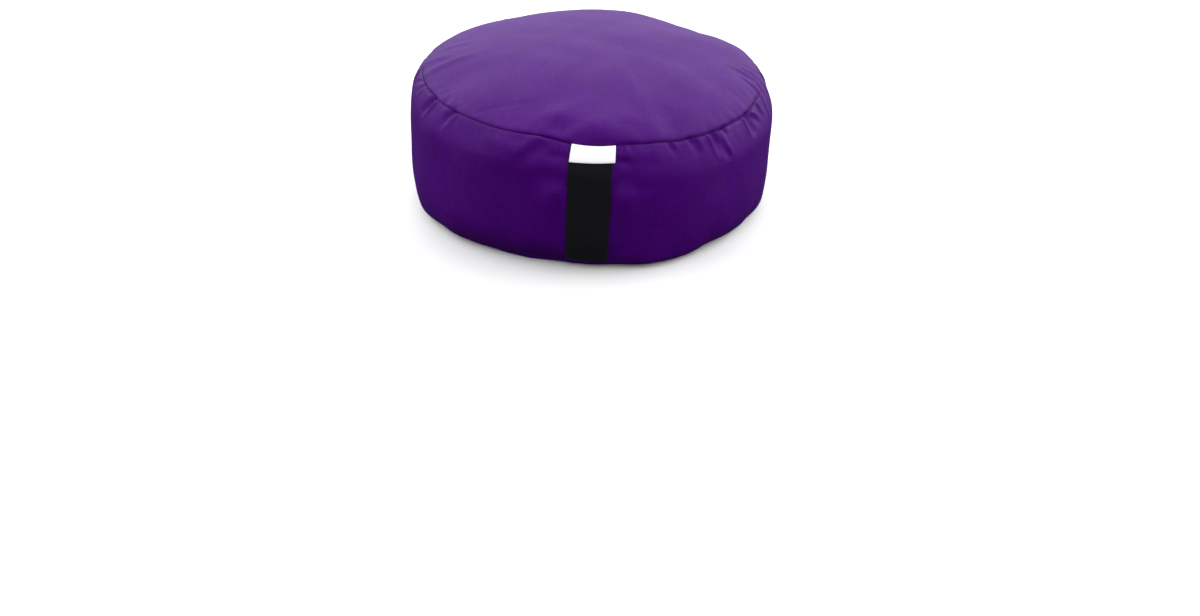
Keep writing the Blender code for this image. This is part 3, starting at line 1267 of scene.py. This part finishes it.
    def _on_seams(self, cut: np.ndarray) -> np.ndarray:
        """Mask of the points on the top and bottom seams of the cut drum."""
        top, _, bottom, _, share, _ = self._chart(cut)
        return (top | bottom) & (share > 1.0 - 1e-4)

    def _hold_seams(self, mesh: bpy.types.Mesh, cut: np.ndarray) -> None:
        """Mark both seam rings as sharp creases for the subdivision.

        Args:
            mesh: The sewn drum.
            cut: Its places as cut.
        """
        sharp = self._on_seams(cut)[edge_ends(mesh)].all(axis=1)
        held = mesh.attributes.new("crease_edge", "FLOAT", "EDGE")
        held.data.foreach_set("value", sharp.astype(np.float32))

    def _inflate(self, piece: bpy.types.Object, cut: np.ndarray) -> None:
        """Press the filling out against the sewn cloth and keep the wrinkles that form.

        Args:
            piece: The sewn drum, already in its filled form.
            cut: Its places as cut, which give the cloth's real lengths.
        """
        started = positions(piece.data)
        self._pin(piece, cut)
        select_only(piece)
        piece.shape_key_add(name="filled")
        flat = piece.shape_key_add(name="as_cut")
        flat.data.foreach_set("co", cut.ravel())
        cloth = piece.modifiers.new("Filling", "CLOTH")
        for setting, value in (("quality", 6), ("mass", 0.3), ("tension_stiffness", 25.0),
                               ("compression_stiffness", 25.0), ("shear_stiffness", 8.0),
                               ("bending_stiffness", 6.0), ("use_pressure", True),
                               ("uniform_pressure_force", self.pressure),
                               ("vertex_group_mass", "sewn"), ("rest_shape_key", flat)):
            setattr(cloth.settings, setting, value)
        cloth.settings.effector_weights.gravity = 0.0
        cloth.point_cache.frame_start = 1
        cloth.point_cache.frame_end = self.frames
        for step in range(1, self.frames + 1):
            bpy.context.scene.frame_set(step)
        evaluated = piece.evaluated_get(bpy.context.evaluated_depsgraph_get())
        moved = positions(evaluated.data) - started
        piece.modifiers.remove(cloth)
        piece.shape_key_clear()
        bpy.context.scene.frame_set(1)
        wrinkles = moved - self._smoothed(piece.data, moved, self.smoothing_rounds)
        size = np.linalg.norm(wrinkles, axis=1, keepdims=True)
        LOG.info("wrinkles: mean %.2f mm, most %.2f mm", size.mean() * 1000, size.max() * 1000)
        capped = wrinkles * np.minimum(1.0, self.wrinkle_cap / np.maximum(size, 1e-9))
        azimuth, drop, _ = self._drops(cut)
        capped *= self._clear_of_handle(azimuth, drop)[:, None]
        capped[self._on_seams(cut)] = 0.0
        place(piece.data, started + capped)

    def _pin(self, piece: bpy.types.Object, cut: np.ndarray) -> None:
        """Pin the seams and the base, which rests on the floor.

        Args:
            piece: The sewn drum.
            cut: Its places as cut.
        """
        group = piece.vertex_groups.new(name="sewn")
        bottom = self._chart(cut)[2]
        held = np.flatnonzero(self._on_seams(cut) | bottom)
        group.add(held.tolist(), 1.0, "REPLACE")

    @staticmethod
    def _smoothed(mesh: bpy.types.Mesh, values: np.ndarray, rounds: int) -> np.ndarray:
        """Average values over neighbouring vertices again and again.

        Args:
            mesh: The mesh that gives the neighbours.
            values: A row for each vertex.
            rounds: How many times each vertex takes its neighbours' mean.

        Returns:
            The smoothed rows.
        """
        first, second = edge_ends(mesh).T
        count = len(mesh.vertices)
        valence = np.bincount(first, minlength=count) + np.bincount(second, minlength=count)
        smooth = values.copy()
        for _ in range(rounds):
            for axis in range(values.shape[1]):
                total = np.bincount(first, smooth[second, axis], count)
                total += np.bincount(second, smooth[first, axis], count)
                smooth[:, axis] = 0.5 * smooth[:, axis] + 0.5 * total / valence
        return smooth

    def _drops(self, cut: np.ndarray) -> tuple[np.ndarray, np.ndarray, np.ndarray]:
        """Distance of each point from the top seam, and from the nearest seam.

        Args:
            cut: Places on the cut drum.

        Returns:
            Azimuths in degrees, drops in metres, and distances from the nearest seam.
        """
        top, band, _, azimuth, share, rise = self._chart(cut)
        inwards = self.form.seam_radius * (1.0 - share)
        down = self.cut_height * (1.0 - rise)
        drop = np.where(top, -inwards, np.where(band, down, self.cut_height + inwards))
        nearest = np.where(band, np.minimum(down, self.cut_height - down), inwards)
        return azimuth, drop, nearest

    def _crease(self, mesh: bpy.types.Mesh) -> None:
        """Press the creases, gathers and grooves of the seams into the fine mesh, and store the
        shade painted into the grooves.

        Args:
            mesh: The subdivided cushion.
        """
        azimuth, drop, nearest = self._drops(self._kept_cut(mesh))
        lift = self._unevenness(positions(mesh)) + self._seam_ease(azimuth, drop)
        lift *= self._clear_of_handle(azimuth, drop)
        for crease in CREASES + self._unseen_creases():
            lift += self._crease_lift(crease, azimuth, drop, nearest)
        lift[(drop > self.cut_height) & (nearest > self.ease_reach)] = 0.0
        lost = (turn_between(azimuth, self.lost_seam_azimuth) / self.lost_seam_spread) ** 4
        shown = 1.0 - self.lost_seam_share * np.exp(-lost) * (np.abs(drop) < 0.5 * self.cut_height)
        for middle, spread in DEEP_SEAMS:
            shown += self.deep_seam_share * np.exp(-(turn_between(azimuth, middle) / spread) ** 2)
        groove = self.groove_depth * np.exp(-nearest / self.groove_reach) * shown
        # Painted shade in the seam grooves, strongest where the groove is deepest.
        sewn = np.exp(-nearest / self.painted_shade_reach) * shown
        along = self.cut_radius * np.radians(np.abs(turn_between(azimuth, self.closing_azimuth)))
        on_band = (drop > 0.0) & (drop < self.cut_height)
        groove += on_band * self.closing_depth * np.exp(-along / self.groove_reach)
        # The band's closing seam gets painted shade along its groove as well.
        sewn = np.maximum(sewn, on_band * self.closing_painted_shade * np.exp(-along / self.painted_shade_reach))
        place(mesh, positions(mesh) + normals(mesh) * (lift - groove)[:, None])
        shade = mesh.attributes.new("seam_painted_shade", "FLOAT", "POINT")
        shade.data.foreach_set("value", sewn.astype(np.float32))

    def _unevenness(self, points: np.ndarray) -> np.ndarray:
        """Slow swells and hollows of cloth over loose filling.

        Args:
            points: A row of x, y and z for each point.

        Returns:
            Heights in metres.
        """
        random = np.random.RandomState(self.seed)
        lift = np.zeros(len(points))
        for _ in range(self.uneven_waves):
            direction = random.normal(size=3)
            direction /= np.linalg.norm(direction)
            length = random.uniform(*self.uneven_lengths)
            phase = random.uniform(0.0, 2.0 * np.pi)
            wave = np.sin(points @ direction * (2.0 * np.pi / length) + phase)
            lift += (length / self.uneven_middle) * wave
        return lift * self.uneven * math.sqrt(2.0 / self.uneven_waves)

    def _seam_ease(self, azimuth: np.ndarray, drop: np.ndarray) -> np.ndarray:
        """Small irregular gathers where the longer cloth is eased into the top seam.

        Args:
            azimuth: Azimuths in degrees.
            drop: Drops in metres.

        Returns:
            Heights in metres.
        """
        random = np.random.RandomState(self.seed + 1)
        angle = np.radians(azimuth)
        ripple, swell = np.zeros_like(azimuth), np.zeros_like(azimuth)
        for _ in range(self.ease_waves):
            count = random.randint(*self.ease_counts)
            lean = random.uniform(-self.ease_lean, self.ease_lean)
            leant = lean * drop / self.ease_lean_length
            ripple += np.sin(count * angle + leant + random.uniform(0.0, 2.0 * np.pi))
            count = random.randint(*self.swell_counts)
            swell += np.sin(count * angle + random.uniform(0.0, 2.0 * np.pi))
        share = np.clip(0.5 + 0.35 * swell / math.sqrt(0.5 * self.ease_waves), 0.0, 1.4)
        distance = np.where(drop < 0.0, -self.ease_inner * drop, drop)
        fade = np.exp(-(distance / self.ease_reach)) * (1.0 - np.exp(-distance / self.ease_start))
        return self.ease * ripple * math.sqrt(2.0 / self.ease_waves) * share * fade

    def _clear_of_handle(self, azimuth: np.ndarray, drop: np.ndarray) -> np.ndarray:
        """Share of the small unevenness that is left: none where the handle presses.

        Args:
            azimuth: Azimuths in degrees.
            drop: Drops in metres.

        Returns:
            Shares between 0 and 1.
        """
        x = self.form.bulge_radius * np.abs(np.radians(turn_between(azimuth, FRONT)))
        outside = np.clip((x - self.handle_half_width) / self.handle_fade, 0.0, 1.0)
        return np.where(drop > -self.handle_top, outside, 1.0)

    def _unseen_creases(self) -> tuple[Crease, ...]:
        """Creases of the back, of the same kinds as those in front.

        Returns:
            The creases, in order round the back.
        """
        random = np.random.RandomState(self.seed + 2)
        back = self.back
        creases = []
        azimuth, end = back.azimuths
        low, high = back.top_azimuths
        while azimuth < end:
            side = random.choice((-1.0, 1.0))
            ridge = random.uniform(*back.ridge)
            lean = random.uniform(*back.lean)
            reach = random.uniform(*back.to_drop)
            creases.append(Crease(azimuth, 0.4, azimuth + lean, reach, ridge,
                                  random.uniform(*back.trough), random.uniform(*back.width),
                                  side * random.uniform(*back.beside),
                                  random.uniform(*back.crisp)))
            if random.uniform() < back.top_share and low < azimuth < high:
                reach = random.uniform(*back.top_reach)
                creases.append(Crease(azimuth + 3.0, -3.0, azimuth + 5.0, -reach,
                                      0.8, 0.6, 2.3, side * 5.5, 0.4))
            azimuth += random.uniform(*back.gap)
        return tuple(creases)

    def _crease_lift(self, crease: Crease, azimuth: np.ndarray, drop: np.ndarray,
                     nearest: np.ndarray) -> np.ndarray:
        """Height of one crease at each point, in metres.

        Args:
            crease: The crease.
            azimuth: Azimuths in degrees.
            drop: Drops in metres.
            nearest: Distances from the nearest seam in metres.

        Returns:
            Heights, negative in its trough.
        """
        reach = self.form.seam_radius
        turned = np.radians(turn_between(azimuth, crease.azimuth))
        inner = reach + np.minimum(drop, 0.0)
        x = inner * np.sin(turned)
        y = np.where(drop < 0.0, reach - inner * np.cos(turned), -drop)
        turn = math.radians(crease.to_azimuth - crease.azimuth)
        end = reach + min(crease.to_drop * MILLIMETRE, 0.0)
        end_y = -crease.to_drop * MILLIMETRE
        if crease.to_drop < 0.0:
            end_y = reach - end * math.cos(turn)
        run_x = end * math.sin(turn)
        run_y = end_y + crease.drop * MILLIMETRE
        length = math.hypot(run_x, run_y)
        local_y = y + crease.drop * MILLIMETRE
        share = (x * run_x + local_y * run_y) / length ** 2
        across = math.copysign(1.0, run_y) * (x * run_y - local_y * run_x) / length / MILLIMETRE
        away = across / crease.width
        ridge = (1.0 - crease.crisp) * np.exp(-away ** 2)
        ridge = ridge + crease.crisp * np.exp(-self.crisp_fall * np.abs(away))
        hollow_width = max(crease.width, self.trough_share * abs(crease.beside))
        trough = np.exp(-((across - crease.beside) / hollow_width) ** 2)
        crosses = crease.drop * crease.to_drop < 0.0
        held = np.clip(share, 0.0, 1.0)
        if crosses or abs(crease.drop) > self.free_drop:
            along = np.sin(np.pi * held) ** self.free_power
        else:
            before = np.minimum(share, 0.0) * length / self.run_on
            along = np.cos(0.5 * np.pi * held) ** self.held_power * np.exp(-before ** 2)
        if not crosses:
            outside = drop if crease.drop < 0.0 else -drop
            along = along * np.exp(-np.maximum(outside, 0.0) / self.seam_stop)
            along = along * (1.0 - self.stitch_share * np.exp(-(nearest / self.stitch_reach) ** 2))
        along = np.where(np.abs(turned) < self.far_turn, along, 0.0)
        return (crease.ridge * ridge - crease.trough * trough) * along * MILLIMETRE

    def _lay_pattern(self, mesh: bpy.types.Mesh) -> None:
        """UV map of the flat pattern pieces, in metres.

        Args:
            mesh: The fine mesh, with its places on the cut drum.
        """
        corners = corner_vertices(mesh)
        starts = np.empty(len(mesh.polygons), dtype=np.int32)
        mesh.polygons.foreach_get("loop_start", starts)
        face_of = np.repeat(np.arange(len(starts)), np.diff(np.append(starts, len(corners))))
        point = self._kept_cut(mesh)[corners]
        sides = np.bincount(face_of)
        middle = [np.bincount(face_of, point[:, axis]) / sides for axis in range(3)]
        middle = np.stack(middle, axis=1)[face_of]
        azimuth = np.arctan2(middle[:, 1], middle[:, 0])
        turn = np.arctan2(point[:, 1], point[:, 0]) - azimuth
        turn = (turn + np.pi) % (2.0 * np.pi) - np.pi
        unrolled = np.stack(((azimuth + turn) * self.cut_radius, point[:, 2]), axis=1)
        edge = 1e-5
        on_band = (middle[:, 2] > edge) & (middle[:, 2] < self.cut_height - edge)
        pattern = np.where(on_band[:, None], unrolled, point[:, :2])
        pattern[:, 0] += np.where(middle[:, 2] < edge, self.base_away, 0.0)
        set_pattern(mesh, pattern)


@dataclass
class CarryStrap:
    """Flat webbing handle, sewn into both seams and stretched down the front."""

    form: CushionForm
    width: float = 0.039
    thickness: float = 1.4 * MILLIMETRE
    short: float = 3.6 * MILLIMETRE
    stand_off: float = -0.15 * MILLIMETRE
    tucked: float = 2.2 * MILLIMETRE
    tuck_length: float = 3.0 * MILLIMETRE
    columns: int = 96
    rows: int = 120
    cords: int = 24
    relief: float = 0.07 * MILLIMETRE
    edge_round: float = 0.4 * MILLIMETRE
    edge_angle: float = 60.0
    edge_wander: float = 0.25 * MILLIMETRE
    selvedge_fall: float = 0.25 * MILLIMETRE
    bow: float = 0.35 * MILLIMETRE

    @property
    def length(self) -> float:
        """Length of webbing that shows, from the top seam to just above the bottom one."""
        return self.form.band_length() - self.short

    def build(self) -> bpy.types.Object:
        """Lay the webbing on the band, thicken it and dress it.

        Returns:
            The finished strap.
        """
        piece, across, down = cut_strip("webbing_strap", self.columns, self.rows,
                                        self.width, self.length)
        place(piece.data, self._laid(across, down))
        face_outwards(piece)
        thicken(piece, self.thickness)
        rim = piece.modifiers.new("Selvedge", "BEVEL")
        rim.width = self.edge_round
        rim.segments = 2
        rim.angle_limit = math.radians(self.edge_angle)
        apply_modifier(piece, rim.name)
        Webbing().dress(piece)
        round_look(piece)
        return piece

    def _laid(self, across: np.ndarray, down: np.ndarray) -> np.ndarray:
        """Places of the webbing's middle surface.

        Args:
            across: Shares of the width, 0 at the left edge.
            down: Shares of the length, 0 at the top seam.

        Returns:
            A row of x, y and z for each point.
        """
        centre = self.form.strap_top_x + (self.form.strap_bottom_x - self.form.strap_top_x) * down
        wander = self.edge_wander * np.sin(5.0 * np.pi * down + 0.6)
        x = centre + wander + (across - 0.5) * self.width
        drop = down * self.length
        from_end = np.minimum(drop, self.length - drop)
        cords = self.relief * np.cos(2.0 * np.pi * self.cords * across)
        selvedge = -self.selvedge_fall * np.abs(2.0 * across - 1.0) ** 12
        bow = self.bow * np.sin(np.pi * down) * np.sin(3.1 * np.pi * down + 0.8)
        tuck = self.tucked * np.clip(1.0 - from_end / self.tuck_length, 0.0, 1.0) ** 2
        return self.form.front(x, drop, self.stand_off + cords + selvedge + bow - tuck)


@dataclass
class FoldedLabel:
    """Satin ribbon folded in half, its two ends sewn into the top seam."""

    form: CushionForm
    width: float = 0.0405
    thickness: float = 0.28 * MILLIMETRE
    shown: float = 16.9 * MILLIMETRE
    centre_x: float = 1.8 * MILLIMETRE
    lean: float = 1.7 * MILLIMETRE
    slant: float = -0.7 * MILLIMETRE
    bow: float = -0.15 * MILLIMETRE
    lifted_corner: float = 0.9 * MILLIMETRE
    ripple: float = 0.22 * MILLIMETRE
    columns: int = 40
    rows: int = 72

    @property
    def length(self) -> float:
        """Length of ribbon in both layers, in metres."""
        return 2.0 * self.shown + 1.0 * MILLIMETRE

    def build(self) -> bpy.types.Object:
        """Fold the ribbon, thicken it and dress it.

        Returns:
            The finished label.
        """
        piece, across, along = cut_strip("satin_label", self.columns, self.rows,
                                         self.width, self.length)
        place(piece.data, self._folded(across, along))
        face_outwards(piece)
        thicken(piece, self.thickness)
        SatinTag().dress(piece)
        round_look(piece)
        return piece

    def _section(self) -> np.ndarray:
        """Section of the folded ribbon, with its corners cut off three times to round it.

        Returns:
            A row of drop and stand-off in metres for each point, from the front end to the
            back one.
        """
        shown = self.shown / MILLIMETRE
        line = np.array(((0.0, -0.6), (0.9, 1.0), (3.0, 1.95), (8.0, 2.35), (13.0, 2.30),
                         (shown - 1.0, 2.15), (shown, 1.95), (shown, 1.35), (shown - 1.0, 1.15),
                         (9.0, 1.10), (2.5, 1.00), (0.8, 0.30), (0.0, -1.0)))
        for _ in range(3):
            ahead = line[:-1] * 0.75 + line[1:] * 0.25
            behind = line[:-1] * 0.25 + line[1:] * 0.75
            inner = np.stack((ahead, behind), axis=1).reshape(-1, 2)
            line = np.vstack((line[:1], inner, line[-1:]))
        return line * MILLIMETRE

    def _folded(self, across: np.ndarray, along: np.ndarray) -> np.ndarray:
        """Places of the ribbon's middle surface.

        Args:
            across: Shares of the width, 0 at the left edge.
            along: Shares of the ribbon's length, 0 at the front layer's sewn end.

        Returns:
            A row of x, y and z for each point.
        """
        line = self._section()
        run = np.concatenate(([0.0], np.cumsum(np.hypot(*np.diff(line, axis=0).T))))
        drop = np.interp(along * run[-1], run, line[:, 0])
        stand_off = np.interp(along * run[-1], run, line[:, 1])
        reach = drop / self.shown
        sideways = 2.0 * across - 1.0
        x = self.centre_x + self.lean * (0.5 - reach) + 0.5 * self.width * sideways
        drop = drop + reach * (self.bow * (1.0 - sideways ** 2) + 0.5 * self.slant * sideways)
        wave = self.ripple * np.sin(1.3 * np.pi * across + 0.5) * reach
        stand_off = stand_off + wave + self.lifted_corner * np.clip(sideways, 0.0, 1.0) ** 2 * reach
        return self.form.front(x, drop, stand_off)


@dataclass
class Studio:
    """Plain pale floor, soft lights and the camera at the photograph's angle."""

    floor_half: float = 14.0
    floor_colour: Colour = (0.82, 0.82, 0.825)
    sky_strength: float = 0.01
    left_glow: float = 1.4
    right_glow: float = 3.0
    side_start: float = 0.35
    side_front: Range = (-0.1, 0.4)
    backdrop_strength: float = 1.46
    backdrop_front: Range = (0.2, 0.9)
    ground_strength: float = 0.01
    ground_tilt: float = 0.22
    ground_end: float = 0.45
    lights: tuple[Light, ...] = (
        Light("top_light", 1.04, 0.0, 0.0, 100.0),
        Light("back_light", 1.95, -60.0, 0.0, 70.0),
        Light("front_light", 1.92, 58.0, 0.0, 70.0),
        Light("left_light", 2.5, 66.0, -98.0, 70.0),
        Light("right_light", 2.7, 66.0, 98.0, 70.0),
    )
    camera_place: tuple[float, float, float] = (0.0078, -1.408, 0.6790)
    camera_pitch: float = 30.0
    picture_width: float = 1200.0
    focal_pixels: float = 1564.0
    sensor_width: float = 36.0

    def build(self) -> None:
        """Make the floor, the lights, the world and the camera."""
        self._floor()
        self._world()
        for light in self.lights:
            self._sun(light)
        self._camera()
        bpy.context.scene.view_settings.view_transform = "Standard"

    def _floor(self) -> None:
        """Add a pale, slightly uneven paper floor."""
        bpy.ops.object.select_all(action="DESELECT")
        bpy.ops.mesh.primitive_plane_add(size=2.0 * self.floor_half)
        floor = bpy.context.object
        floor.name = "studio_floor"
        shader = Shader("pale_paper")
        where = shader.node("ShaderNodeTexCoord").outputs["Object"]
        grain = shader.remap(shader.noise(where, 3.0), 0.3, 0.7, 0.99, 1.0)
        shader.dress(floor, {
            "Base Color": shader.dyed(self.floor_colour, grain),
            "Roughness": 0.95,
            "Specular IOR Level": 0.1,
        })
        floor.visible_diffuse = False
        floor.visible_glossy = False

    def _world(self) -> None:
        """Add white surroundings: dark in front and below, a bright backdrop and pale sides."""
        world = bpy.data.worlds.new("studio_world")
        world.use_nodes = True
        nodes = Nodes(world.node_tree)
        x, y, z = nodes.axes(nodes.node("ShaderNodeTexCoord").outputs["Generated"])
        level = nodes.remap(y, *self.backdrop_front, self.sky_strength, self.backdrop_strength)
        for side, strength in ((-1.0, self.left_glow), (1.0, self.right_glow)):
            glow = nodes.remap(x, self.side_start * side, side, 0.0, strength)
            level = nodes.math("ADD", level, nodes.remap(y, *self.side_front, 0.0, glow))
        height = nodes.math("MULTIPLY_ADD", y, self.ground_tilt, z)
        level = nodes.remap(height, 0.0, self.ground_end, self.ground_strength, level)
        backdrop = world.node_tree.nodes["Background"]
        nodes.feed(backdrop.inputs["Color"], solid((1.0, 1.0, 1.0)))
        nodes.feed(backdrop.inputs["Strength"], level)
        bpy.context.scene.world = world

    @staticmethod
    def _sun(light: Light) -> None:
        """Add a large soft light from far away, seen in no gloss.

        Args:
            light: Its power, direction and spread.
        """
        data = bpy.data.lights.new(light.name, "SUN")
        data.energy = light.power
        data.angle = math.radians(light.spread)
        sun = bpy.data.objects.new(light.name, data)
        sun.rotation_euler = (math.radians(light.tip), 0.0, math.radians(light.turn))
        sun.visible_glossy = False
        bpy.context.scene.collection.objects.link(sun)

    def _camera(self) -> None:
        """Add a camera that looks down at the cushion, as in the photograph."""
        data = bpy.data.cameras.new("camera")
        data.sensor_width = self.sensor_width
        data.lens = self.focal_pixels * self.sensor_width / self.picture_width
        camera = bpy.data.objects.new("camera", data)
        camera.location = self.camera_place
        camera.rotation_euler = (math.radians(90.0 - self.camera_pitch), 0.0, 0.0)
        bpy.context.scene.collection.objects.link(camera)
        bpy.context.scene.camera = camera


def report(piece: bpy.types.Object) -> None:
    """Log a finished piece's size."""
    size = piece.dimensions * 1000.0
    LOG.info("%s: %d faces, %.1f x %.1f x %.1f mm", piece.name, len(piece.data.polygons), *size)


def fit_out(piece: bpy.types.Object, node: str) -> None:
    """Tie a finished piece to the frame.

    Args:
        piece: The finished piece.
        node: The CAD node that it stands for.
    """
    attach(piece, "root")
    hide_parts(node)
    report(piece)


def main() -> None:
    """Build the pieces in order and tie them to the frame."""
    logging.basicConfig(level=logging.INFO, format="%(name)s: %(message)s", stream=sys.stdout)
    Studio().build()
    form = CushionForm(crown_top=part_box("cushion")[1].z)
    cushion = FilledCushion(form).build()
    fit_out(cushion, "cushion")
    handle = CarryStrap(form)
    strap = handle.build()
    fit_out(strap, "carry_strap")
    handle.length
    ribbon = FoldedLabel(form)
    label = ribbon.build()
    fit_out(label, "folded_label")
    ribbon.length


if __name__ == "__main__":
    main()
